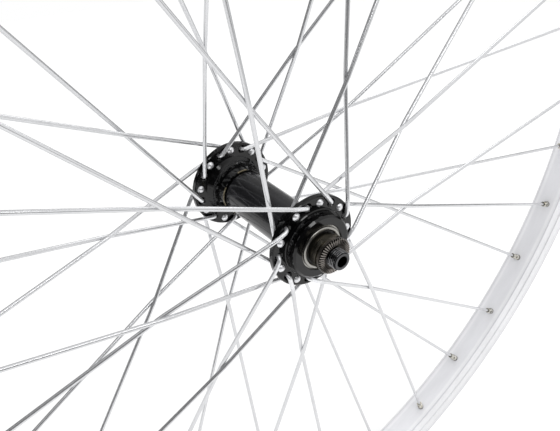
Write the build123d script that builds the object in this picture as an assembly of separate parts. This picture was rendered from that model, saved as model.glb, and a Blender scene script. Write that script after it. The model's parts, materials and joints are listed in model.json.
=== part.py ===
from build123d import *
import os
from math import asin, cos, degrees, hypot, pi, radians, sin, sqrt

# Front bicycle wheel with 36 crossed spokes, quick-release hub and double-wall rim.
# The origin is the wheel's centre and the wheel spins about Y. +Z is up.
# +Y is the left side of the bicycle and -Y is the right side.
# Sizes are in millimetres and angles in degrees. Clock angles run from +X towards +Z.
# In the names below, "out" along the axle means away from the middle of the wheel.

# Spoke pattern
spoke_count = 36
crossings = 3
wheel_phase = 1.3
spoke_diameter = 2.0
elbow_bend_radius = 2.0
flange_edge_bend_radius = 24.0
crossing_bend_radius = 30.0
spoke_touch_gap = 0.05
head_diameter = 3.8
head_dome_height = 1.15
head_rim_height = 0.25

# Hub shell
hub_length = 82.0
flange_face_depth = 6.0
flange_thickness = 3.0
flange_edge_chamfer = 0.4
flange_edge_beyond_holes = 3.3
holes_beyond_boss_step = 2.7
flange_hole_gap = 0.25
countersink_depth = 0.9
barrel_diameter = 22.6
barrel_end_depth = 11.4
barrel_groove_depth = 0.5
barrel_groove_width = 0.7
barrel_lip_height = 0.8
barrel_lip_width = 0.8
throat_start_rise = 1.3
throat_end_inside_holes = 4.7
throat_length = 6.6
throat_hollow = 0.8
throat_end_chamfer = 1.0
boss_diameter = 31.0
boss_neck_depth = 0.7
boss_step_rise = 1.0
boss_step_height = 0.9
boss_face_chamfer = 0.9
mouth_chamfer = 0.3

# Ball bearings, one at each end
ball_diameter = 4.7625
least_gap_between_balls = 0.2
ball_cap_gap = 0.12
race_gap = 0.06
cup_wall = 0.9
cup_floor = 1.1
cup_ledge = 2.45
cup_cap_gap = 0.15
cup_hole_inside_balls = 0.5
retainer_gap = 0.1
retainer_wall_gap = 0.3
retainer_cap_gap = 0.5
retainer_inner_diameter = 16.0
retainer_height = 1.5

# Axle set
locknut_beyond_hub = 9.0
axle_beyond_locknut = 4.6
axle_diameter = 9.0
axle_bore_diameter = 5.2
axle_end_chamfer = 0.5
axle_groove_width = 0.8
axle_groove_depth = 0.4
axle_groove_beyond_locknut = 0.3
thread_gap = 0.02
cone_nose_wall = 0.64
cone_nose_length = 2.0
cone_lip_inside_balls = 0.6
cone_lip_width = 0.4
cone_lip_taper = 0.5
cone_neck_diameter = 15.2
cone_flare_length = 1.1
cone_head_length = 2.0
cone_head_diameter = 17.0
cone_flat_width = 15.0
locknut_diameter = 17.2
locknut_thickness = 2.8
locknut_chamfer = 0.35
washer_diameter = 15.6
washer_thickness = 0.8
washer_key_width = 2.4
washer_key_depth = 0.8
key_gap = 0.1

# Dust caps and seals
cap_collar_gap = 0.65
cap_cone_gap = 1.2
cap_band_height = 0.9
cap_recess = 1.0
cap_proud = 0.5
cap_lip_round = 0.7
seal_height = 1.0
seal_gap = 0.3

# Rim
bead_seat_diameter = 559.0
rim_width = 24.0
rim_lip_width = 2.5
rim_flange_height = 6.1
hook_wall = 1.6
hook_lip_height = 1.5
bead_seat_width = 2.6
well_depth = 2.4
well_slope_width = 2.3
bridge_thickness = 1.4
bed_thickness = 2.4
chamber_height = 4.1
chamber_corner = 1.0
bed_inset = 3.0
bed_crown = 0.8
bed_shoulder_height = 4.6
bed_shoulder_inset = 0.7
bed_shoulder_round = 0.7
side_wall = 1.7
wear_groove_depth = 0.25
wear_groove_width = 0.6
wear_groove_from_edge = 4.0
track_step = 0.6
lip_round = 0.7
valve_hole_diameter = 8.5
valve_gap_number = 2
spoke_hole_stagger = 1.1
sleeve_length = 30.0
sleeve_gap = 0.1

# Nipples
nipple_length = 12.0
nipple_diameter = 4.0
nipple_hole_gap = 0.15
nipple_head_diameter = 6.0
nipple_head_height = 2.8
nipple_dome_height = 1.7
nipple_collar_length = 5.2
nipple_flat_depth = 0.35
nipple_tip_chamfer = 0.35
nipple_slot_width = 0.9
nipple_slot_depth = 0.9
nipple_seat_depth = 0.6
nipple_seat_gap = 0.15
nipple_access_diameter = 8.6
spoke_end_below_head = 1.2

# Worked out from the sizes above
LEFT, RIGHT = 1, -1
spoke_radius = spoke_diameter / 2
hole_pitch = 720 / spoke_count
rim_pitch = 360 / spoke_count
cross_angle = crossings * hole_pitch
last_crossing_angle = (2 * crossings - 1) * hole_pitch / 2
valve_angle = wheel_phase + rim_pitch / 2 + valve_gap_number * 4 * rim_pitch

# Worked out along the axle, from the middle of the wheel
hub_face = hub_length / 2
flange_out = hub_face - flange_face_depth
flange_in = flange_out - flange_thickness
barrel_end = flange_in - barrel_end_depth
cap_seat = hub_face - cap_recess
cap_start = cap_seat - cap_band_height
ball_plane = cap_start - ball_cap_gap - ball_diameter / 2
dropout_face = hub_face + locknut_beyond_hub
cone_end = dropout_face - locknut_thickness - washer_thickness
axle_end = dropout_face + axle_beyond_locknut

# Worked out across the hub, as radii
axle_radius = axle_diameter / 2
threaded_bore = axle_radius + thread_gap
race_radius = ball_diameter / 2 + race_gap
ball_orbit = threaded_bore + cone_nose_wall + race_radius
ball_count = int(pi / asin((ball_diameter + least_gap_between_balls) / (2 * ball_orbit)))
cup_bottom = ball_plane - race_radius - cup_floor
shell_seat_radius = ball_orbit + race_radius + cup_wall
shell_bore_radius = shell_seat_radius - cup_ledge
cap_hole_radius = cone_neck_diameter / 2 + cap_cone_gap
boss_radius = boss_diameter / 2
boss_step_radius = boss_radius + boss_step_rise
hole_circle_radius = boss_step_radius + holes_beyond_boss_step
flange_radius = hole_circle_radius + flange_edge_beyond_holes
flange_hole_radius = spoke_radius + flange_hole_gap

# Worked out for the rim
rim_outer_radius = bead_seat_diameter / 2 + rim_flange_height
well_radius = bead_seat_diameter / 2 - well_depth
chamber_roof = well_radius - bridge_thickness
chamber_floor = chamber_roof - chamber_height
bed_radius = chamber_floor - bed_thickness
bed_half_width = rim_width / 2 - bed_inset
shoulder_half_width = rim_width / 2 - bed_shoulder_inset
nipple_seat_radius = chamber_floor - nipple_seat_depth


def polar(radius, angle, along=0.0):
    """A point at a clock angle and a distance from the axle, at the given place along Y."""
    return Vector(radius * cos(radians(angle)), along, radius * sin(radians(angle)))


def turned(outline):
    """The solid that a closed outline of (radius, along) sweeps around the axle."""
    return revolve(make_face(outline), axis=Axis.Y)


def ring(inner_radius, outer_radius, start, end):
    """A plain ring around the axle between two places along Y."""
    return turned(Polyline((inner_radius, start), (outer_radius, start), (outer_radius, end),
                           (inner_radius, end), close=True))


def bowed(start, end, depth):
    """An arc between two points of an outline that swells to the right of its chord by the given depth."""
    start, end = Vector(*start), Vector(*end)
    chord = (end - start).normalized()
    middle = (start + end) / 2 + Vector(chord.Y, -chord.X) * depth
    return ThreePointArc(start, middle, end)


def dome(rim_radius, rim, height, inner_radius=0.0):
    """Outline of a spherical dome on the axle, from its rim at one place along Y to an inner radius."""
    sphere = (rim_radius ** 2 + height ** 2) / (2 * height)
    centre = rim + height - sphere
    points = [(radius, centre + sqrt(sphere ** 2 - radius ** 2))
              for radius in ((rim_radius + inner_radius) / 2, inner_radius)]
    return ThreePointArc((rim_radius, rim), *points)


def race_arc(start, end):
    """Arc of a ball race between two points of its outline, around the ball's centre."""
    centre = Vector(ball_orbit, ball_plane)
    start, end = Vector(*start), Vector(*end)
    half_way = ((start - centre).normalized() + (end - centre).normalized()).normalized()
    return ThreePointArc(start, centre + half_way * race_radius, end)


def at_clock(shape, angle):
    """The shape turned around the axle, so that what lay at clock angle 0 lies at the given one."""
    return Rot(0, -angle, 0) * shape


def on_side(shape, side):
    """The left-hand shape as it is, or its mirror image for the right-hand side."""
    return shape if side == LEFT else mirror(shape, about=Plane.XZ)


def hole_phase(outboard, side):
    """Clock angle of the first flange hole of one kind of spoke."""
    phase = wheel_phase + (hole_pitch if outboard else 0)
    return phase - (rim_pitch if side == LEFT else 0)


# Spoke routes, for the left side with the flange hole at clock angle 0

def spoke_route(outboard):
    """Corner points of a spoke from its head to its seat in the rim."""
    turn = cross_angle if outboard else -cross_angle
    last = last_crossing_angle if outboard else -last_crossing_angle
    lie = spoke_radius + spoke_touch_gap
    leave_out = flange_out + lie
    leave_in = flange_in - lie
    head = Vector(hole_circle_radius, flange_in if outboard else flange_out, 0)
    elbow = Vector(hole_circle_radius, leave_out if outboard else leave_in, 0)
    seat = polar(nipple_seat_radius, turn, spoke_hole_stagger)

    # The last crossing, where the outer spoke of the pair passes under the inner one
    reach = hole_circle_radius * sin(radians(last_crossing_angle))
    reach += nipple_seat_radius * sin(radians(cross_angle - last_crossing_angle))
    crossing_radius = hole_circle_radius * nipple_seat_radius * sin(radians(cross_angle)) / reach
    crossing = polar(crossing_radius, last)
    run = hypot(seat.X - elbow.X, seat.Z - elbow.Z)
    share = hypot(crossing.X - elbow.X, crossing.Z - elbow.Z) / run
    middle = (leave_out + leave_in) / 2
    height = middle + (spoke_hole_stagger - middle) * share
    crossing.Y = height - lie if outboard else height + lie
    if not outboard:
        return [head, elbow, crossing, seat]

    # The outer spoke lies flat on the flange as far as its edge
    toward = Vector(seat.X - elbow.X, 0, seat.Z - elbow.Z).normalized()
    along = hole_circle_radius * toward.X
    edge_run = sqrt(along ** 2 + flange_radius ** 2 - hole_circle_radius ** 2) - along
    edge = elbow + toward * (edge_run + spoke_radius / 2)
    return [head, elbow, edge, crossing, seat]


def seat_plane(outboard):
    """Plane at a nipple's seat in the rim, with its Z along the spoke and away from the hub."""
    route = spoke_route(outboard)
    return Plane(origin=route[-1], z_dir=(route[-1] - route[-2]).normalized())


def spoke_head(outboard):
    """Domed head that nests in the countersunk hole, on the side that the spoke doesn't leave by."""
    radius = head_diameter / 2
    sunk_radius = flange_hole_radius + countersink_depth - spoke_touch_gap
    face_drop = sunk_radius - radius
    shank_drop = sunk_radius - spoke_radius
    rim_top = head_rim_height - face_drop
    outline = (Polyline((0, rim_top + head_dome_height), (0, -shank_drop), (spoke_radius, -shank_drop),
                        (radius, -face_drop), (radius, rim_top))
               + dome(radius, rim_top, head_dome_height))
    head = turned(outline)
    face = flange_in if outboard else flange_out
    tilt = 180 if outboard else 0
    return Pos(hole_circle_radius, face, 0) * Rot(tilt, 0, 0) * head


def make_spoke(outboard):
    """One spoke: head, elbow, run to the last crossing and on into its nipple."""
    route = spoke_route(outboard)
    along = (route[-1] - route[-2]).normalized()
    end = route[-1] + along * (nipple_head_height - spoke_end_below_head)
    bends = [elbow_bend_radius] + [flange_edge_bend_radius] * (len(route) - 4) + [crossing_bend_radius]
    path = FilletPolyline(*route[:-1], end, radius=bends)
    rod = sweep(Plane(origin=path @ 0, z_dir=path % 0) * Circle(spoke_radius), path=path)
    return rod + spoke_head(outboard)


# Nipples and the holes that they sit in

def make_nipple(outboard):
    """One nipple on its seat, with a slotted head in the rim and square flats towards the hub."""
    body = nipple_diameter / 2
    head = nipple_head_diameter / 2
    head_rim = nipple_head_height - nipple_dome_height
    tip = nipple_head_height - nipple_length
    bore = spoke_radius + thread_gap
    top = dome(head, head_rim, nipple_dome_height, bore)
    outline = (Polyline(top @ 1, (bore, tip), (body - nipple_tip_chamfer, tip),
                        (body, tip + nipple_tip_chamfer), (body, 0), (head, 0), (head, head_rim)) + top)
    nipple = Rot(90, 0, 0) * turned(outline)
    square = nipple_diameter - 2 * nipple_flat_depth
    square_length = nipple_length - nipple_head_height - nipple_collar_length
    square_middle = tip + square_length / 2
    sleeve = Pos(0, 0, square_middle) * Cylinder(nipple_diameter, square_length)
    sleeve -= Pos(0, 0, square_middle) * Box(square, square, square_length)
    slot = Pos(0, 0, nipple_head_height - nipple_slot_depth / 2) * Box(
        nipple_head_diameter, nipple_slot_width, nipple_slot_depth)
    return seat_plane(outboard) * (nipple - sleeve - slot)


def nipple_cutter(outboard):
    """What is drilled for one nipple: its hole in the bed, its flat seat and the hole to reach it by."""
    below = bed_thickness + bed_crown + nipple_hole_gap
    above = chamber_roof - nipple_seat_radius
    through = well_depth + bridge_thickness + nipple_head_height
    hole = Pos(0, 0, -below / 2) * Cylinder(nipple_diameter / 2 + nipple_hole_gap, below)
    seat = Pos(0, 0, above / 2) * Cylinder(nipple_head_diameter / 2 + nipple_seat_gap, above)
    reach = Pos(0, 0, above + through / 2 - nipple_seat_depth) * Cylinder(nipple_access_diameter / 2, through)
    return seat_plane(outboard) * (hole + seat + reach)


# Rim

def rim_side(side):
    """Right-hand or left-hand half of the rim's outer outline, from the well to the spoke bed."""
    half = rim_width / 2
    seat = bead_seat_diameter / 2
    inside = half - rim_lip_width
    wall = half - hook_wall
    seat_edge = wall - bead_seat_width
    top = rim_outer_radius
    groove = top - wear_groove_from_edge
    shoulder = bed_radius + bed_shoulder_height
    points = [
        (well_radius, 0), (well_radius, seat_edge - well_slope_width), (seat, seat_edge), (seat, wall),
        (top - hook_lip_height - (wall - inside), wall), (top - hook_lip_height, inside),
        (top - lip_round, inside), (top, inside + lip_round), (top, half - lip_round),
        (top - lip_round, half),
        (groove + wear_groove_width / 2, half), (groove, half - wear_groove_depth),
        (groove - wear_groove_width / 2, half), (shoulder + track_step, half),
        (shoulder + track_step / 2, shoulder_half_width - wear_groove_depth),
        (shoulder, shoulder_half_width)]
    points = [(radius, side * along) for radius, along in points]
    bed_edge = (bed_radius + bed_crown, side * bed_half_width)
    return Polyline(*points) + bowed(points[-1], bed_edge, -side * bed_shoulder_round)


def rim_chamber(gap=0.0):
    """Closed outline of the hollow between the spoke bed and the bridge, or of what fits in it with a gap."""
    wide = shoulder_half_width - side_wall - gap
    narrow = bed_half_width - side_wall / 2 - gap
    low = chamber_floor + gap
    high = chamber_roof - gap
    corner = chamber_corner
    points = [(low, narrow - corner), (low + corner, narrow), (high - corner, wide), (high, wide - corner)]
    mirrored = [(radius, -along) for radius, along in reversed(points)]
    return Polyline(*points, *mirrored, close=True)


def bed_arc():
    """The slightly crowned spoke bed."""
    return ThreePointArc((bed_radius + bed_crown, bed_half_width), (bed_radius, 0),
                         (bed_radius + bed_crown, -bed_half_width))


def make_rim():
    """The whole hoop with its spoke holes and valve hole."""
    outline = rim_side(LEFT) + bed_arc() + rim_side(RIGHT)
    hoop = revolve(make_face(outline) - make_face(rim_chamber()), axis=Axis.Y)
    cutters = []
    for side in (LEFT, RIGHT):
        for outboard in (True, False):
            cutter = on_side(nipple_cutter(outboard), side)
            for angle in hole_angles(outboard, side):
                cutters.append(at_clock(cutter, angle))
    valve = Pos(bed_radius, 0, 0) * Rot(0, 90, 0) * Cylinder(valve_hole_diameter / 2, rim_width)
    cutters.append(at_clock(valve, valve_angle))
    return hoop - cutters


def make_rim_sleeve():
    """Short insert that joins the hoop's two ends, inside its chamber and opposite the valve hole."""
    arc = degrees(sleeve_length / chamber_roof)
    insert = revolve(make_face(rim_chamber(sleeve_gap)), axis=Axis.Y, revolution_arc=arc)
    return at_clock(insert, valve_angle + 180 + arc / 2)


# Hub shell, bearings and axle set, for the left side

def shell_half():
    """Outer half outline of the hub shell, from the middle of the barrel to the bore."""
    barrel = barrel_diameter / 2
    lip = barrel + barrel_lip_height
    lip_start = barrel_end + barrel_groove_width
    lip_end = lip_start + barrel_lip_width
    throat = (barrel + throat_start_rise, flange_in - throat_length)
    mouth = (hole_circle_radius - throat_end_inside_holes, flange_in - throat_end_chamfer)
    flange = flange_radius
    edge = flange_edge_chamfer
    step = boss_step_radius
    step_out = flange_out + boss_step_height
    neck = boss_radius - boss_neck_depth
    boss_start = hub_face - boss_face_chamfer
    first = Polyline(
        (shell_bore_radius, 0), (barrel, 0), (barrel, barrel_end),
        (barrel - barrel_groove_depth, barrel_end + barrel_groove_width / 2),
        (barrel - barrel_groove_depth, lip_start), (lip, lip_start), (lip, lip_end), throat)
    second = Polyline(
        mouth, (mouth[0] + throat_end_chamfer, flange_in), (flange - edge, flange_in),
        (flange, flange_in + edge), (flange, flange_out - edge), (flange - edge, flange_out),
        (step, flange_out), (step, step_out - edge), (step - edge, step_out), (neck + edge, step_out))
    hollow = ThreePointArc((neck + edge, step_out), (neck, (step_out + boss_start) / 2 - edge),
                           (boss_radius, boss_start - edge))
    third = Polyline(
        (boss_radius, boss_start - edge), (boss_radius, boss_start),
        (boss_radius - boss_face_chamfer, hub_face),
        (shell_seat_radius + mouth_chamfer, hub_face), (shell_seat_radius, hub_face - mouth_chamfer),
        (shell_seat_radius, cup_bottom), (shell_bore_radius, cup_bottom), (shell_bore_radius, 0))
    return turned(first + bowed(throat, mouth, -throat_hollow) + second + hollow + third)


def flange_hole():
    """One spoke hole with a countersink on each face of the flange."""
    radius = flange_hole_radius
    wide = radius + countersink_depth
    middle = flange_thickness / 2
    outline = Polyline((0, -middle), (wide, -middle), (radius, -middle + countersink_depth),
                       (radius, middle - countersink_depth), (wide, middle), (0, middle), close=True)
    return Pos(hole_circle_radius, flange_in + middle, 0) * turned(outline)


def make_hub_shell():
    """The one-piece shell: barrel, two flanges and two bosses."""
    half = shell_half()
    shell = half + mirror(half, about=Plane.XZ)
    holes = []
    for side in (LEFT, RIGHT):
        hole = on_side(flange_hole(), side)
        for outboard in (True, False):
            for angle in hole_angles(outboard, side):
                holes.append(at_clock(hole, angle))
    return shell - holes


def make_cup():
    """Pressed-in steel cup whose race holds the balls from behind and outside."""
    outer_wall = ball_orbit + race_radius
    top = cap_start - cup_cap_gap
    hole = ball_orbit - cup_hole_inside_balls
    lip = ball_plane - sqrt(race_radius ** 2 - cup_hole_inside_balls ** 2)
    outline = (Polyline((hole, lip), (hole, cup_bottom), (shell_seat_radius, cup_bottom),
                        (shell_seat_radius, top), (outer_wall, top), (outer_wall, ball_plane))
               + race_arc((outer_wall, ball_plane), (hole, lip)))
    return turned(outline)


def make_balls():
    """A full set of loose bearing balls on their circle."""
    ball = Sphere(ball_diameter / 2)
    return Compound([Pos(*polar(ball_orbit, index * 360 / ball_count, ball_plane)) * ball
                     for index in range(ball_count)])


def make_retainer():
    """Ring with one pocket for each ball, which keeps them apart."""
    end = cap_start - retainer_cap_gap
    outer = ball_orbit + race_radius - retainer_wall_gap
    cage = ring(retainer_inner_diameter / 2, outer, end - retainer_height, end)
    pocket = Sphere(ball_diameter / 2 + retainer_gap)
    return cage - [Pos(*polar(ball_orbit, index * 360 / ball_count, ball_plane)) * pocket
                   for index in range(ball_count)]


def make_cone():
    """Threaded cone with its curved race, its neck and a head with two wrench flats."""
    bore = threaded_bore
    nose = bore + cone_nose_wall
    nose_start = ball_plane - cone_nose_length
    lip = ball_orbit - cone_lip_inside_balls
    race_end = ball_plane + sqrt(race_radius ** 2 - cone_lip_inside_balls ** 2)
    lip_end = race_end + cone_lip_width
    neck = cone_neck_diameter / 2
    head = cone_head_diameter / 2
    head_start = cone_end - cone_head_length
    flare_start = head_start - cone_flare_length
    outline = (race_arc((nose, ball_plane), (lip, race_end))
               + Polyline((lip, race_end), (lip, lip_end), (neck, lip_end + cone_lip_taper),
                          (neck, flare_start), (head, head_start), (head, cone_end), (bore, cone_end),
                          (bore, nose_start), (nose, nose_start), (nose, ball_plane)))
    cone = turned(outline)
    beyond = cone_head_diameter
    for up in (1, -1):
        flat = Box(beyond, cone_end - flare_start, beyond)
        cone -= Pos(0, (cone_end + flare_start) / 2, up * (cone_flat_width / 2 + beyond / 2)) * flat
    return cone


def make_seal():
    """Rubber ring on the cone's neck, with a running gap inside the dust cap."""
    start = cap_start + seal_gap
    return ring(cone_neck_diameter / 2, cap_hole_radius - seal_gap, start, start + seal_height)


def make_dust_cap():
    """Pressed-in cap: a band in the shell's mouth and a rounded collar around the cone."""
    hole = cap_hole_radius
    collar = shell_seat_radius - cap_collar_gap
    top = hub_face + cap_proud
    soft = cap_lip_round
    outline = (Polyline((hole, cap_start), (shell_seat_radius, cap_start), (shell_seat_radius, cap_seat),
                        (collar, cap_seat), (collar, top - soft))
               + TangentArc((collar, top - soft), (collar - soft, top), tangent=(0, 1))
               + Polyline((collar - soft, top), (hole + soft / 2, top), (hole, top - soft / 2),
                          (hole, cap_start)))
    return turned(outline)


def key_bar(width, depth, start, end):
    """Bar along the underside of the axle, from the thread's surface in to the given depth."""
    height = depth + axle_radius
    middle = axle_radius - depth + height / 2
    return Pos(0, (start + end) / 2, -middle) * Box(width, end - start, height)


def make_washer():
    """Thin washer between cone and locknut, with a small tab that keys it to the axle."""
    end = cone_end + washer_thickness
    washer = ring(threaded_bore, washer_diameter / 2, cone_end, end)
    inside = turned(Polyline((0, cone_end), (threaded_bore, cone_end), (threaded_bore, end), (0, end),
                             close=True))
    return washer + (inside & key_bar(washer_key_width, washer_key_depth, cone_end, end))


def make_locknut():
    """Round locknut whose outer face bears on the fork."""
    bore = threaded_bore
    outer = locknut_diameter / 2
    start = cone_end + washer_thickness
    edge = locknut_chamfer
    return turned(Polyline((bore, start), (outer - edge, start), (outer, start + edge),
                           (outer, dropout_face - edge), (outer - edge, dropout_face),
                           (bore, dropout_face), close=True))


def make_axle():
    """Hollow axle for a quick-release skewer, with a groove at each locknut and a keyway for each washer."""
    outer = axle_radius
    bore = axle_bore_diameter / 2
    edge = axle_end_chamfer
    bottom = outer - axle_groove_depth
    groove_end = dropout_face + axle_groove_beyond_locknut
    groove_start = groove_end - axle_groove_width
    half = turned(Polyline((bore, 0), (outer, 0), (outer, groove_start), (bottom, groove_start),
                           (bottom, groove_end), (outer, groove_end), (outer, axle_end - edge),
                           (outer - edge, axle_end), (bore, axle_end), close=True))
    half -= key_bar(washer_key_width + 2 * key_gap, washer_key_depth + key_gap, cone_end, groove_start)
    return half + mirror(half, about=Plane.XZ)


def hole_angles(outboard, side):
    """Clock angles of the flange holes that one kind of spoke starts from."""
    first = hole_phase(outboard, side)
    return [first + index * 2 * hole_pitch for index in range(spoke_count // 4)]


def save(shape, name):
    """Write one piece as its own file."""
    shape.label = name
    export_step(shape, f"parts/{name}.step")


def main():
    """Build every piece of the wheel and write its file."""
    os.makedirs("parts", exist_ok=True)
    save(make_rim(), "rim")
    save(make_rim_sleeve(), "rim_joint_sleeve")
    save(make_hub_shell(), "hub_shell")
    save(make_axle(), "axle")
    hub_pieces = {"bearing_cup": make_cup(), "bearing_balls": make_balls(), "ball_retainer": make_retainer(),
                  "cone": make_cone(), "cone_seal": make_seal(), "dust_cap": make_dust_cap(),
                  "keyed_washer": make_washer(), "locknut": make_locknut()}
    for name, shape in hub_pieces.items():
        save(on_side(shape, LEFT), f"{name}_left")
        save(on_side(shape, RIGHT), f"{name}_right")

    nipples = []
    for side, side_name in ((LEFT, "left"), (RIGHT, "right")):
        number = 0
        for outboard in (True, False):
            spoke = on_side(make_spoke(outboard), side)
            nipple = on_side(make_nipple(outboard), side)
            for angle in hole_angles(outboard, side):
                number += 1
                save(at_clock(spoke, angle), f"spoke_{side_name}_{number:02d}")
                nipples.append(at_clock(nipple, angle))
    save(Compound(nipples), "spoke_nipples")


main()
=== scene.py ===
import json
import logging
import math
from dataclasses import dataclass
from enum import Enum
from typing import Callable, Iterable

import bpy
from mathutils import Matrix, Vector


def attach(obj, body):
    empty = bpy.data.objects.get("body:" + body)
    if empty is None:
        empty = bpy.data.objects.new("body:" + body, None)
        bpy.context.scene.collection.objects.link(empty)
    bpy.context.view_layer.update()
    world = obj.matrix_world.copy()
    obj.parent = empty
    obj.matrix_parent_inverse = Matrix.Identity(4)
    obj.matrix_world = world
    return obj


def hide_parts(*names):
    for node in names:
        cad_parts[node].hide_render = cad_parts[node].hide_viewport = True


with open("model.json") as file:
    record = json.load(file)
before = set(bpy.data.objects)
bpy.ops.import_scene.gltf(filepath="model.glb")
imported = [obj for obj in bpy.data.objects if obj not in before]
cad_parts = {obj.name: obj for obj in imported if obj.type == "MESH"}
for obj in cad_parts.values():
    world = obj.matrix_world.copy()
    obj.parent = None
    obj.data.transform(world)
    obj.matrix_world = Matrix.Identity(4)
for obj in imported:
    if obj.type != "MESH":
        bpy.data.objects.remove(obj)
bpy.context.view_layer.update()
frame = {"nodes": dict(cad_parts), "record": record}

log = logging.getLogger("wheel")

Colour = tuple[float, float, float]
Place = tuple[float, float, float]
Cells = tuple[float, float, float]
Outline = list[tuple[float, float]]

MM = 0.001
FULL_TURN = 2 * math.pi
HALF_TURN_ABOUT_Z = Matrix.Rotation(math.pi, 4, "Z")
WHITE: Colour = (1.0, 1.0, 1.0)

NOISE_MIDDLE = 0.5          # The middle of a noise's range
ROUND_SEGMENTS = 96         # Sides of a smooth circle
MERGE_DISTANCE = 1e-7       # Metres within which vertices are merged
RING_TOLERANCE = 1e-3       # Millimetres within which a vertex lies on a ring
PICK_MARGIN = 0.05          # Millimetres that a selection reaches past its edge
GENTLE_EDGE = math.radians(30)


class Side(Enum):
    """The two ends of the axle, as the CAD nodes spell them."""

    LEFT = "left"
    RIGHT = "right"


class Light(Enum):
    """Which kinds of ray see a colour."""

    CAMERA = "Is Camera Ray"
    GLOSSY = "Is Glossy Ray"
    TRANSMISSION = "Is Transmission Ray"


class MixSocket(Enum):
    """A Mix node's colour sockets, by number."""

    FACTOR = 0
    FIRST = 6
    SECOND = 7
    RESULT = 2


# Shader graphs

@dataclass(frozen=True)
class Rise:
    """Where a mask goes from 0 to 1: the middle of the rise and half its width."""

    at: float
    soft: float


@dataclass(frozen=True)
class Band:
    """A soft stripe across a value: its middle, half its width and half the width of its fade."""

    centre: float
    half: float
    soft: float


class Value:
    """A shader value that ordinary operators turn into Math nodes."""

    def __init__(self, graph: "Graph", socket: bpy.types.NodeSocket) -> None:
        """Wrap one output socket of a graph.

        Args:
            graph: The graph that new Math nodes go into.
            socket: The output socket that carries the value.
        """
        self.graph = graph
        self.socket = socket

    def _math(self, operation: str, *values: "Value | float") -> "Value":
        """Add one Math node and return its result."""
        return self.graph.math(operation, *values)

    def __add__(self, other: "Value | float") -> "Value":
        """Sum."""
        return self._math("ADD", self, other)

    __radd__ = __add__

    def __sub__(self, other: "Value | float") -> "Value":
        """Difference."""
        return self._math("SUBTRACT", self, other)

    def __rsub__(self, other: float) -> "Value":
        """Difference from a number."""
        return self._math("SUBTRACT", other, self)

    def __mul__(self, other: "Value | float") -> "Value":
        """Product."""
        return self._math("MULTIPLY", self, other)

    __rmul__ = __mul__

    def __truediv__(self, other: "Value | float") -> "Value":
        """Quotient."""
        return self._math("DIVIDE", self, other)

    def __abs__(self) -> "Value":
        """Size without sign."""
        return self._math("ABSOLUTE", self)

    def larger(self, other: "Value | float") -> "Value":
        """The larger of two values."""
        return self._math("MAXIMUM", self, other)

    def swing(self, amount: float) -> "Value":
        """A noise turned into a swing of a given width to both sides of zero."""
        return (self - NOISE_MIDDLE) * amount

    def past(self, rise: Rise) -> "Value":
        """Mask that goes smoothly from 0 to 1 where the value passes an edge.

        Args:
            rise: The place and half the width of the rise.

        Returns:
            The mask.
        """
        node = self.graph.node("ShaderNodeMapRange", {"interpolation_type": "SMOOTHSTEP"}, {
            "Value": self, "From Min": rise.at - rise.soft, "From Max": rise.at + rise.soft})
        return self.graph.value(node, "Result")

    def within(self, band: Band) -> "Value":
        """Mask that is 1 inside a band and fades to 0 beyond it."""
        return 1 - abs(self - band.centre).past(Rise(band.half, band.soft))


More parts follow.
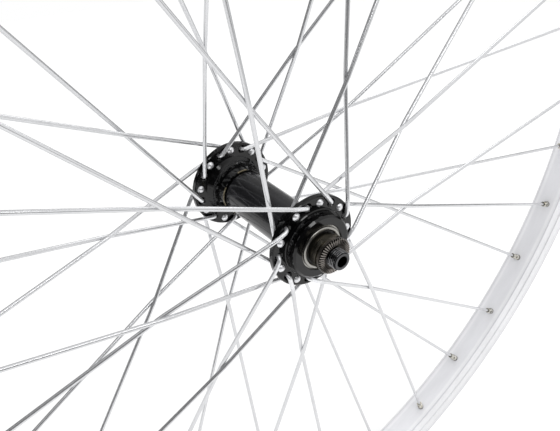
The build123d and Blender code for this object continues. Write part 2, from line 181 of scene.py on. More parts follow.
class Graph:
    """A node tree of one material or of the world, filled through a few short calls."""

    def __init__(self, tree: bpy.types.NodeTree) -> None:
        """Start from an empty tree.

        Args:
            tree: The tree, which is emptied.
        """
        self.tree = tree
        tree.nodes.clear()
        self._cylinder: tuple[Value, Value, Value] | None = None

    def node(self, kind: str, settings: dict | None = None,
             inputs: dict | None = None) -> bpy.types.Node:
        """Add any node.

        Args:
            kind: The node's type, such as ShaderNodeTexNoise.
            settings: Properties that are set first, such as a Math node's operation.
            inputs: Values or links for its sockets, by name or by number.

        Returns:
            The new node.
        """
        made = self.tree.nodes.new(kind)
        for name, value in (settings or {}).items():
            setattr(made, name, value)
        for name, value in (inputs or {}).items():
            self.feed(made.inputs[name], value)
        return made

    def feed(self, socket: bpy.types.NodeSocket, value: object) -> None:
        """Link a value, socket or node to an input, or set it to a number or a colour.

        Args:
            socket: The input socket.
            value: What goes into it. A node gives its first output.
        """
        if isinstance(value, Value):
            value = value.socket
        if isinstance(value, bpy.types.Node):
            value = value.outputs[0]
        if isinstance(value, bpy.types.NodeSocket):
            self.tree.links.new(value, socket)
        elif isinstance(value, tuple) and socket.type == "RGBA":
            socket.default_value = (*value, 1.0)
        else:
            socket.default_value = value

    def value(self, node: bpy.types.Node, output: str | int = 0) -> Value:
        """Wrap one output of a node."""
        return Value(self, node.outputs[output])

    def math(self, operation: str, *values: Value | float) -> Value:
        """Add a Math node with one, two or three inputs."""
        inputs = dict(enumerate(values))
        return self.value(self.node("ShaderNodeMath", {"operation": operation}, inputs))

    def mix(self, share: Value | float, low: object, high: object) -> bpy.types.NodeSocket:
        """Mix two colours.

        Args:
            share: 0 for the first colour and 1 for the second.
            low: A colour or a socket.
            high: A colour or a socket.

        Returns:
            The mixed colour's socket.
        """
        node = self.node("ShaderNodeMix", {"data_type": "RGBA"}, {
            MixSocket.FACTOR.value: share, MixSocket.FIRST.value: low,
            MixSocket.SECOND.value: high})
        return node.outputs[MixSocket.RESULT.value]

    def tinted(self, colour: object, factor: Value) -> bpy.types.NodeSocket:
        """A colour or a colour's socket made darker or lighter by a value."""
        inputs = {0: colour, "Scale": factor}
        return self.node("ShaderNodeVectorMath", {"operation": "SCALE"}, inputs).outputs[0]

    def point(self) -> bpy.types.NodeSocket:
        """Object coordinates in metres, which are the wheel's own axes on every piece."""
        return self.node("ShaderNodeTexCoord").outputs["Object"]

    def split(self, vector: bpy.types.NodeSocket) -> tuple[Value, Value, Value]:
        """The X, Y and Z of a vector: across, along the axle and up."""
        node = self.node("ShaderNodeSeparateXYZ", None, {0: vector})
        return self.value(node, "X"), self.value(node, "Y"), self.value(node, "Z")

    def cylinder(self) -> tuple[Value, Value, Value]:
        """Where a point lies on the wheel, worked out once for each graph.

        Returns:
            Distance from the axle and place along it in millimetres, and clock angle in radians.
        """
        if self._cylinder is None:
            across, along, up = self.split(self.point())
            radius = self.math("SQRT", across * across + up * up) / MM
            self._cylinder = (radius, along / MM, self.math("ARCTAN2", up, across))
        return self._cylinder

    def noise(self, scale: float, detail: float, vector: object = None,
              rough: float = 0.5) -> Value:
        """Noise from 0 to 1.

        Args:
            scale: Cells to a metre, or to a unit of the given vector.
            detail: Octaves of finer noise.
            vector: Where it is read, or the object's own coordinates.
            rough: How strong the finer octaves are.

        Returns:
            The noise.
        """
        node = self.node("ShaderNodeTexNoise", None, {
            "Vector": self.point() if vector is None else vector, "Scale": scale,
            "Detail": detail, "Roughness": rough})
        return self.value(node)

    def wrapped(self, cells: Cells, detail: float) -> Value:
        """Noise from 0 to 1 that follows the wheel's turning.

        Args:
            cells: Cells to a radian round the clock, to a millimetre away from the axle and to
                a millimetre along it.
            detail: Octaves of finer noise.

        Returns:
            The noise.
        """
        around, outward, sideways = cells
        radius, along, clock = self.cylinder()
        vector = self.node("ShaderNodeCombineXYZ", None, {
            "X": clock * around, "Y": radius * outward, "Z": along * sideways}).outputs[0]
        return self.noise(1.0, detail, vector)

    def bump(self, height: Value, distance: float) -> bpy.types.NodeSocket:
        """Normals bumped by a height, where 1 is the given distance in metres."""
        inputs = {"Strength": 1.0, "Distance": distance, "Height": height}
        return self.node("ShaderNodeBump", None, inputs).outputs["Normal"]


# Finishes, with places and sizes in millimetres and bump depths in metres

@dataclass(frozen=True)
class Finish:
    """A surface finish. Each kind fills in how its colour, roughness and relief vary."""

    name: str
    colour: Colour
    metallic: float = 1.0
    roughness: float = 0.3
    specular: float = 0.5

    def material(self) -> bpy.types.Material:
        """Build the finish's material, once for each name.

        Returns:
            The material.
        """
        found = bpy.data.materials.get(self.name)
        if found is not None:
            return found
        material = bpy.data.materials.new(self.name)
        material.use_nodes = True
        graph = Graph(material.node_tree)
        shader = graph.node("ShaderNodeBsdfPrincipled", None, {
            "Base Color": self.colour, "Metallic": self.metallic, "Roughness": self.roughness,
            "Specular IOR Level": self.specular})
        for socket, value in self.surface(graph).items():
            graph.feed(shader.inputs[socket], value)
        graph.node("ShaderNodeOutputMaterial", None, {"Surface": shader})
        return material

    def surface(self, graph: Graph) -> dict[str, object]:
        """What varies over the surface.

        Args:
            graph: The material's graph.

        Returns:
            Sockets of the main shader by name, each with what feeds it.
        """
        raise NotImplementedError


@dataclass(frozen=True)
class RimAlloy(Finish):
    """Satin rim with drawn lines and machined brake tracks, with painted light on it: a painted
    sheen band and a painted cool reflection on the bed, a painted dark reflection on the outer
    lip, and dark lines of painted shade with some grime at its edges.
    """

    drawn_cells: Cells = (14.0, 2.6, 2.6)
    turned_cells: Cells = (3.0, 4.5, 4.5)
    cloud_cells: Cells = (11.0, 0.06, 0.16)
    bed_end: Rise = Rise(270.7, 0.2)
    bed_side: Rise = Rise(9.0, 0.1)
    step: Rise = Rise(274.1, 0.1)
    step_side: Rise = Rise(10.5, 0.2)
    track_side: Rise = Rise(11.4, 0.1)
    painted_sheen_band: Band = Band(6.7, 0.7, 1.3)
    edge_line: Band = Band(8.8, 0.35, 0.25)
    step_line: Band = Band(274.1, 0.3, 0.25)
    wear_groove: Band = Band(281.6, 0.2, 0.12)
    lip_dark_reflection: Band = Band(284.1, 0.45, 0.4)
    edge_shade_and_grime: float = 0.36
    step_shade_and_grime: float = 0.12
    groove_shade_and_grime: float = 0.26
    seam_clock: float = -1.6354
    seam_width: Rise = Rise(0.0006, 0.0003)
    seam_tone: float = 0.45
    tone: float = 0.91
    cloud_tone: float = 0.16
    drawn_tone: float = 0.04
    crease_shade_and_grime_tone: float = 0.62
    lip_dark_reflection_tone: float = 0.4
    track_tone: float = 0.03
    bed_tone: float = 0.965
    painted_sheen_tone: float = 0.11
    cloud_rough: float = 0.10
    drawn_rough: float = 0.05
    track_rough: float = 0.06
    line_rough: float = 0.2
    drawn_depth: float = 0.4
    seam_depth: float = 2.0
    bump_depth: float = 0.00001
    shoulder_dull: float = 0.25
    painted_cool_reflection: Colour = (0.885, 0.89, 0.935)
    painted_cool_reflection_share: float = 0.5

    def surface(self, graph: Graph) -> dict[str, object]:
        """Colour, roughness and relief of the rim.

        Args:
            graph: The material's graph.

        Returns:
            Sockets of the main shader by name, each with what feeds it.
        """
        radius, along, clock = graph.cylinder()
        side = abs(along)
        drawn = graph.wrapped(self.drawn_cells, detail=3.0)
        turned = graph.wrapped(self.turned_cells, detail=2.0)
        cloud = graph.wrapped(self.cloud_cells, detail=3.0)

        track = side.past(self.track_side) * radius.past(self.step)
        bed = 1 - radius.past(self.bed_end)
        # Painted reflection: a brighter sheen band on each side of the bed.
        painted_sheen = side.within(self.painted_sheen_band) * bed
        seam = abs(clock - self.seam_clock).past(self.seam_width)
        # Painted shade with some grime: dark lines along the bed edge, the step and the wear
        # groove.
        edge = side.within(self.edge_line) * bed
        step = radius.within(self.step_line) * side.past(self.step_side)
        groove = radius.within(self.wear_groove) * side.past(self.track_side)
        crease_shade_and_grime = (edge * self.edge_shade_and_grime).larger(step * self.step_shade_and_grime)
        crease_shade_and_grime = crease_shade_and_grime.larger(groove * self.groove_shade_and_grime)
        # Painted reflection: the outer lip darkened.
        lip = radius.within(self.lip_dark_reflection)
        shoulder = side.past(self.bed_side) * (1 - radius.past(self.step))

        shade = self.tone + self.cloud_tone * cloud + drawn.swing(self.drawn_tone)
        shade = shade * (1 - self.crease_shade_and_grime_tone * crease_shade_and_grime)
        shade = shade * (self.seam_tone + (1 - self.seam_tone) * seam)
        shade = shade * (1 - self.lip_dark_reflection_tone * lip) * (1 - self.track_tone * track)
        shade = shade * (self.bed_tone + self.painted_sheen_tone * painted_sheen)
        rough = self.roughness + self.cloud_rough * cloud + drawn.swing(self.drawn_rough)
        rough = rough - self.track_rough * track + self.line_rough * crease_shade_and_grime
        relief = drawn * (1 - track) * self.drawn_depth + turned * track + seam * self.seam_depth
        # Painted reflection: a cool blue cast over the bed outside the sheen band.
        tint = graph.mix((bed - painted_sheen) * self.painted_cool_reflection_share, self.colour, self.painted_cool_reflection)
        return {"Base Color": graph.tinted(tint, shade), "Roughness": rough,
                "Metallic": self.metallic - self.shoulder_dull * shoulder,
                "Normal": graph.bump(relief, self.bump_depth)}


@dataclass(frozen=True)
class HubBlack(Finish):
    """Gloss black shell with turned faces, a satin barrel with painted reflection streaks, and
    bright barrel ends that are partly worn metal and partly a painted highlight.
    """

    painted_reflection_streak_cells: Cells = (3.2, 0.0, 0.03)
    faint_cells: Cells = (9.0, 0.0, 0.05)
    turned_cells: Cells = (0.6, 7.0, 7.0)
    smear_scale: float = 140.0
    barrel_end: Rise = Rise(20.6, 0.1)
    lip_band: Band = Band(21.4, 0.8, 0.1)
    lip_crest: Rise = Rise(11.92, 0.12)
    worn_and_highlight_smear: Rise = Rise(0.56, 0.05)
    worn_metal_and_highlight: Colour = (0.42, 0.36, 0.24)
    tone: float = 0.8
    smear_tone: float = 0.4
    painted_reflection_streak_tone: float = 15.0
    painted_reflection_streak_least: float = 1.5
    smear_rough: float = 0.06
    barrel_rough: float = 0.02
    faint_rough: float = 0.05
    worn_rough: float = 0.2
    bump_depth: float = 0.000002

    def surface(self, graph: Graph) -> dict[str, object]:
        """Colour, roughness and relief of the hub shell.

        Args:
            graph: The material's graph.

        Returns:
            Sockets of the main shader by name, each with what feeds it.
        """
        radius, along, _ = graph.cylinder()
        barrel = 1 - abs(along).past(self.barrel_end)
        # Painted reflection: the barrel's tone with dark streaks of reflected spokes.
        painted_reflection_streak = graph.wrapped(self.painted_reflection_streak_cells, detail=3.0)
        faint = graph.wrapped(self.faint_cells, detail=2.0)
        turned = graph.wrapped(self.turned_cells, detail=2.0)
        smear = graph.noise(self.smear_scale, detail=4.0)
        lip = abs(along).within(self.lip_band)
        # Worn bare metal at the barrel's lip, in a gold colour that is partly a painted
        # highlight.
        wear_and_highlight = lip * radius.past(self.lip_crest) * smear.past(self.worn_and_highlight_smear)

        shade = self.tone + self.smear_tone * smear
        shade = shade + barrel * (self.painted_reflection_streak_tone * painted_reflection_streak - self.painted_reflection_streak_least)
        rough = self.roughness + self.smear_rough * smear
        rough = rough + barrel * (self.barrel_rough + faint.swing(self.faint_rough))
        rough = rough + self.worn_rough * wear_and_highlight
        relief = turned * (1 - barrel) + faint * barrel
        black = graph.tinted(self.colour, shade)
        return {"Base Color": graph.mix(wear_and_highlight, black, self.worn_metal_and_highlight), "Metallic": wear_and_highlight,
                "Roughness": rough, "Normal": graph.bump(relief, self.bump_depth)}


@dataclass(frozen=True)
class ZincWire(Finish):
    """Bright zinc-plated wire, a little cloudy, with scuffed heads lightened by a painted
    highlight.
    """

    cloud_scale: float = 90.0
    grain_scale: float = 1600.0
    scuff_scale: float = 900.0
    scuff_fineness: float = 0.7
    scuff_start: Rise = Rise(0.56, 0.06)
    head_reach: Rise = Rise(24.0, 1.0)
    tone: float = 0.9
    cloud_tone: float = 0.16
    scuff_tone: float = 0.2
    head_highlight_tone: float = 0.25
    cloud_rough: float = 0.10
    grain_rough: float = 0.06
    head_rough: float = 0.16
    bump_depth: float = 0.000002

    def surface(self, graph: Graph) -> dict[str, object]:
        """Colour, roughness and relief of the spokes.

        Args:
            graph: The material's graph.

        Returns:
            Sockets of the main shader by name, each with what feeds it.
        """
        radius, _, _ = graph.cylinder()
        cloud = graph.noise(self.cloud_scale, detail=3.0)
        grain = graph.noise(self.grain_scale, detail=2.0)
        head = 1 - radius.past(self.head_reach)
        scuff = graph.noise(self.scuff_scale, detail=4.0, rough=self.scuff_fineness)
        scuff = scuff.past(self.scuff_start) * head
        shade = self.tone + self.cloud_tone * cloud - self.scuff_tone * scuff
        # Painted highlight: the heads lightened.
        shade = shade + self.head_highlight_tone * head
        rough = self.roughness + cloud.swing(self.cloud_rough) + grain.swing(self.grain_rough)
        rough = rough + self.head_rough * head
        return {"Base Color": graph.tinted(self.colour, shade), "Roughness": rough,
                "Normal": graph.bump(grain + scuff, self.bump_depth)}


@dataclass(frozen=True)
class NickelBrass(Finish):
    """Nickel plate over brass, with painted shade and grime where the nipple goes into the rim
    and at the tip where the spoke enters.
    """

    cloud_scale: float = 700.0
    grain_scale: float = 4000.0
    tip: Rise = Rise(262.1, 0.12)
    tip_ragged: float = 0.2
    tip_dark: float = 0.4
    rim_bed: Rise = Rise(268.7, 0.35)
    bed_ragged: float = 0.6
    rubbed_start: Rise = Rise(0.58, 0.1)
    rubbed_share: float = 0.45
    tone: float = 0.85
    grain_tone: float = 0.3
    cloud_rough: float = 0.2
    grime_rough: float = 0.3
    bump_depth: float = 0.00001
    shade_and_grime: Colour = (0.06, 0.05, 0.035)
    brass: Colour = (0.50, 0.40, 0.20)

    def surface(self, graph: Graph) -> dict[str, object]:
        """Colour, roughness and relief of the nipples.

        Args:
            graph: The material's graph.

        Returns:
            Sockets of the main shader by name, each with what feeds it.
        """
        radius, _, _ = graph.cylinder()
        cloud = graph.noise(self.cloud_scale, detail=3.0)
        grain = graph.noise(self.grain_scale, detail=2.0)
        # Painted shade with grime: darker at the tip where the spoke enters and where the nipple
        # goes into the rim.
        entry = self.tip_dark * (1 - (radius + cloud * self.tip_ragged).past(self.tip))
        shade_and_grime_mask = (radius + cloud * self.bed_ragged).past(self.rim_bed).larger(entry)
        rubbed = cloud.past(self.rubbed_start) * self.rubbed_share
        nickel = graph.tinted(self.colour, self.tone + self.grain_tone * grain)
        plated = graph.mix(rubbed, nickel, self.brass)
        rough = self.roughness + cloud.swing(self.cloud_rough) + self.grime_rough * shade_and_grime_mask
        return {"Base Color": graph.mix(shade_and_grime_mask, plated, self.shade_and_grime), "Roughness": rough,
                "Normal": graph.bump(grain, self.bump_depth)}


@dataclass(frozen=True)
class TurnedSteel(Finish):
    """Lathe-turned steel with fine rings around the axle and a soft cloud of oil or wear."""

    ring_pitch: float = 6.0
    ring_waver: float = 0.8
    ring_depth: float = 0.000012
    ring_tone: float = 0.2
    ring_rough: float = 0.08
    cloud_scale: float = 260.0
    cloudiness: float = 0.25
    cloud_rough: float = 0.12
    speck_scale: float = 2200.0
    speck_start: Rise = Rise(0.62, 0.05)
    # Colour of worn metal, which the threaded and serrated finishes also use for a painted
    # highlight on their crests.
    wear_and_highlight: Colour = (0.5, 0.48, 0.44)
    worn_share: float = 0.0

    def surface(self, graph: Graph) -> dict[str, object]:
        """Colour, roughness and relief of a turned piece.

        Args:
            graph: The material's graph.

        Returns:
            Sockets of the main shader by name, each with what feeds it.
        """
        rings = graph.wrapped((self.ring_waver, self.ring_pitch, self.ring_pitch), detail=3.0)
        cloud = graph.noise(self.cloud_scale, detail=3.0)
        speck = graph.noise(self.speck_scale, detail=3.0)
        shade = 1.0 + cloud.swing(2 * self.cloudiness) + rings.swing(self.ring_tone)
        rubbed = speck.past(self.speck_start) * self.worn_share
        rough = self.roughness + cloud.swing(self.cloud_rough) + rings.swing(self.ring_rough)
        return {"Base Color": graph.mix(rubbed, graph.tinted(self.colour, shade), self.wear_and_highlight),
                "Roughness": rough, "Normal": graph.bump(rings, self.ring_depth)}


@dataclass(frozen=True)
class ThreadedBlack(TurnedSteel):
    """Black turned steel whose thread crests and end faces are rubbed bright, partly real wear
    and partly a painted highlight.
    """

    crest: Rise = Rise(4.37, 0.065)
    crest_share: float = 0.8
    end_face: Rise = Rise(54.54, 0.03)
    face_share: float = 0.16
    rubbed_smooth: float = 0.12

    def surface(self, graph: Graph) -> dict[str, object]:
        """Colour, roughness and relief, with the rubbed metal over them.

        Args:
            graph: The material's graph.

        Returns:
            Sockets of the main shader by name, each with what feeds it.
        """
        base = super().surface(graph)
        radius, along, _ = graph.cylinder()
        # Rubbed bright crests and end face: real wear and a painted highlight.
        crest = radius.past(self.crest) * self.crest_share
        rubbed = crest.larger(abs(along).past(self.end_face) * self.face_share)
        base["Base Color"] = graph.mix(rubbed, base["Base Color"], self.wear_and_highlight)
        base["Roughness"] = base["Roughness"] - self.rubbed_smooth * rubbed
        return base


@dataclass(frozen=True)
class Serrated(TurnedSteel):
    """Dark turned steel with tooth crests lightened by wear and a painted highlight, and painted
    shade with grime in the notches between them and in the recess round the bore.
    """

    face: float = 50.0
    brim: float = 8.2
    teeth_start: float = 5.6
    start_depth: float = 0.12
    brim_depth: float = 0.62
    recess_side: Rise = Rise(5.6, 0.1)
    recess_floor: Rise = Rise(0.62, 0.1)
    teeth_side: Rise = Rise(6.0, 0.3)
    teeth_floor: Rise = Rise(0.82, 0.1)
    crest_end: Rise = Rise(0.36, 0.10)
    notch_start: Rise = Rise(0.50, 0.10)
    crest_share: float = 0.9
    recess_shade_and_grime: float = 0.6
    shade_and_grime: Colour = (0.006, 0.005, 0.004)

    def surface(self, graph: Graph) -> dict[str, object]:
        """Colour, roughness and relief, with crests and notches told apart by depth.

        Args:
            graph: The material's graph.

        Returns:
            Sockets of the main shader by name, each with what feeds it.
        """
        base = super().surface(graph)
        radius, along, _ = graph.cylinder()
        slope = (self.brim_depth - self.start_depth) / (self.brim - self.teeth_start)
        depth = self.face - abs(along) - (radius - self.brim).larger(0.0)
        share = depth / (self.start_depth + (radius - self.teeth_start) * slope)
        # Painted shade with grime in the recess round the bore and in the notches between the
        # teeth; the crests are lightened by wear and a painted highlight.
        recess = (1 - radius.past(self.recess_side)) * (1 - depth.past(self.recess_floor))
        toothed = radius.past(self.teeth_side) * (1 - depth.past(self.teeth_floor))
        crest = (1 - share.past(self.crest_end)) * toothed
        notch = (share.past(self.notch_start) * toothed).larger(self.recess_shade_and_grime * recess)
        lit = graph.mix(crest * self.crest_share, base["Base Color"], self.wear_and_highlight)
        base["Base Color"] = graph.mix(notch, lit, self.shade_and_grime)
        return base


@dataclass(frozen=True)
class Rubber(Finish):
    """Matte black seal rubber with a faint grain."""

    grain_scale: float = 2600.0
    tone: float = 0.7
    grain_tone: float = 0.6
    grain_rough: float = 0.2
    bump_depth: float = 0.00002

    def surface(self, graph: Graph) -> dict[str, object]:
        """Colour, roughness and relief of the seals.

        Args:
            graph: The material's graph.

        Returns:
            Sockets of the main shader by name, each with what feeds it.
        """
        grain = graph.noise(self.grain_scale, detail=4.0)
        return {"Base Color": graph.tinted(self.colour, self.tone + self.grain_tone * grain),
                "Roughness": self.roughness + self.grain_rough * grain,
                "Normal": graph.bump(grain, self.bump_depth)}


RIM = RimAlloy("rim_satin_alloy", (0.91, 0.91, 0.93), metallic=0.2, roughness=0.36)
SLEEVE = TurnedSteel("sleeve_plain_alloy", (0.55, 0.55, 0.56), roughness=0.4)
HUB = HubBlack("hub_gloss_black", (0.0018, 0.0018, 0.002), metallic=0.0, roughness=0.05,
               specular=0.4)
WIRE = ZincWire("spoke_bright_zinc", (0.72, 0.725, 0.74), metallic=0.78, roughness=0.18)
NIPPLE = NickelBrass("nipple_nickel_brass", (0.80, 0.78, 0.70), roughness=0.18)
AXLE = ThreadedBlack("axle_black_oxide", (0.012, 0.012, 0.014), roughness=0.28,
                     wear_and_highlight=(0.5, 0.5, 0.51))
CONE = TurnedSteel("cone_dark_zinc", (0.15, 0.137, 0.112), roughness=0.3, cloudiness=0.35,
                   ring_pitch=4.0)
LOCKNUT = Serrated("locknut_dark_zinc", (0.075, 0.066, 0.058), roughness=0.3,
                   wear_and_highlight=(0.44, 0.405, 0.375), worn_share=0.15)
CAP = TurnedSteel("cap_satin_zinc", (0.36, 0.352, 0.33), roughness=0.3, cloudiness=0.12)
RACE = TurnedSteel("race_ground_steel", (0.5, 0.5, 0.5), roughness=0.22, ring_pitch=12.0)
BALL = TurnedSteel("ball_polished_steel", (0.68, 0.68, 0.69), roughness=0.08,
                   ring_depth=0.000001)
CAGE = TurnedSteel("cage_pressed_steel", (0.42, 0.42, 0.40), roughness=0.4)
SEAL = Rubber("seal_black_rubber", (0.02, 0.02, 0.02), metallic=0.0, roughness=0.55)

FINISH_OF_SLOT = {
    "rim_alloy": RIM, "sleeve_alloy": SLEEVE, "hub_black": HUB, "spoke_steel": WIRE,
    "nipple_plate": NIPPLE, "axle_steel": AXLE, "cone_steel": CONE, "locknut_steel": LOCKNUT,
    "cap_metal": CAP, "race_steel": RACE, "ball_steel": BALL, "cage_steel": CAGE,
    "seal_rubber": SEAL,
}


# Modelling by operators

class Bench:
    """Edit-mode work on one object, as done by hand."""

    @staticmethod
    def clear() -> None:
        """Leave edit mode and deselect everything."""
        if bpy.context.object is not None and bpy.context.object.mode != "OBJECT":
            bpy.ops.object.mode_set(mode="OBJECT")
        bpy.ops.object.select_all(action="DESELECT")

    @staticmethod
    def choose(piece: bpy.types.Object) -> None:
        """Make a piece the only one that is selected, and the active one.

        Args:
            piece: The piece.
        """
        Bench.clear()
        piece.select_set(True)
        bpy.context.view_layer.objects.active = piece

    @staticmethod
    def take(name: str) -> bpy.types.Object:
        """Name the primitive that was just added and put its place into its mesh.

        Args:
            name: The piece's name.

        Returns:
            The piece.
        """
        made = bpy.context.object
        made.name = name
        made.data.name = name
        bpy.ops.object.transform_apply(location=True, rotation=True, scale=True)
        return made

    @staticmethod
    def edit(piece: bpy.types.Object, mode: str = "VERT") -> None:
        """Open a piece in edit mode with nothing selected.

        Args:
            piece: The piece.
            mode: What is selected in it: VERT, EDGE or FACE.
        """
        Bench.choose(piece)
        bpy.ops.object.mode_set(mode="EDIT")
        bpy.ops.mesh.select_mode(type=mode)
        bpy.ops.mesh.select_all(action="DESELECT")

    @staticmethod
    def pick(piece: bpy.types.Object, wanted: Callable[[Vector], bool]) -> None:
        """Select the vertices of a piece in edit mode by their place.

        Args:
            piece: The piece that is open in edit mode.
            wanted: Says of a place, in metres, whether its vertex is selected.
        """
        bpy.ops.object.mode_set(mode="OBJECT")
        for vertex in piece.data.vertices:
            vertex.select = wanted(vertex.co)
        bpy.ops.object.mode_set(mode="EDIT")

    @staticmethod
    def close(smooth_angle: float = GENTLE_EDGE) -> None:
        """Merge doubled vertices, turn the normals outwards and smooth the gentle edges.

        The piece is in object mode afterwards.

        Args:
            smooth_angle: The steepest edge that is smoothed, in radians.
        """
        bpy.ops.mesh.select_all(action="SELECT")
        bpy.ops.mesh.remove_doubles(threshold=MERGE_DISTANCE)
        bpy.ops.mesh.normals_make_consistent(inside=False)
        bpy.ops.object.mode_set(mode="OBJECT")
        bpy.ops.object.shade_smooth_by_angle(angle=smooth_angle)

    @staticmethod
    def turned(name: str, outline: Outline, segments: int) -> bpy.types.Object:
        """Extrude a circle through a closed outline of (radius, along) in millimetres.

        Args:
            name: The piece's name.
            outline: Corners of the outline, in order.
            segments: Sides of the circle.

        Returns:
            The closed ring, open in edit mode.
        """
        Bench.clear()
        radius, along = outline[0]
        bpy.ops.mesh.primitive_circle_add(
            vertices=segments, radius=radius * MM, fill_type="NOTHING",
            location=(0, along * MM, 0), rotation=(math.pi / 2, 0, 0))
        piece = Bench.take(name)
        Bench.edit(piece, "EDGE")
        bpy.ops.mesh.select_all(action="SELECT")
        for next_radius, next_along in outline[1:]:
            bpy.ops.mesh.extrude_region_move(
                TRANSFORM_OT_translate={"value": (0, (next_along - along) * MM, 0)})
            scale = next_radius / radius
            bpy.ops.transform.resize(value=(scale, 1, scale),
                                     center_override=(0, next_along * MM, 0))
            radius, along = next_radius, next_along
        ends = [outline[0], outline[-1]]

        def at_ends(place: Vector) -> bool:
            """Whether a vertex lies on the first or the last ring.

            Args:
                place: The vertex's place, in metres.

            Returns:
                True on either ring.
            """
            reach, height = Bench.reach(place), place.y / MM
            return any(abs(reach - ring_radius) < RING_TOLERANCE
                       and abs(height - ring_along) < RING_TOLERANCE
                       for ring_radius, ring_along in ends)

        Bench.pick(piece, at_ends)
        bpy.ops.mesh.bridge_edge_loops()
        return piece

    @staticmethod
    def reach(place: Vector) -> float:
        """A vertex's distance from the axle, in millimetres."""
        return math.hypot(place.x, place.z) / MM

    @staticmethod
    def apply(piece: bpy.types.Object, kind: str, **settings: object) -> None:
        """Add a modifier, set it and apply it.

        Args:
            piece: The piece.
            kind: The modifier's type, such as SCREW.
            **settings: The modifier's properties.
        """
        Bench.choose(piece)
        modifier = piece.modifiers.new(kind.title(), kind)
        for name, value in settings.items():
            setattr(modifier, name, value)
        bpy.ops.object.modifier_apply(modifier=modifier.name)

    @staticmethod
    def copy(piece: bpy.types.Object, name: str, move: Matrix) -> bpy.types.Object:
        """Copy a piece with its own mesh and put the copy's new place into that mesh.

        Args:
            piece: The piece to copy.
            name: The copy's name.
            move: How the copy is moved or turned.

        Returns:
            The copy.
        """
        made = piece.copy()
        made.data = piece.data.copy()
        made.data.transform(move)
        made.name = name
        made.data.name = name
        bpy.context.scene.collection.objects.link(made)
        return made

    @staticmethod
    def join(pieces: Iterable[bpy.types.Object]) -> bpy.types.Object:
        """Join pieces into the first of them.

        Args:
            pieces: The pieces, in order.

        Returns:
            The first piece, which holds them all.
        """
        first, *others = pieces
        Bench.choose(first)
        for piece in others:
            piece.select_set(True)
        bpy.ops.object.join()
        return first


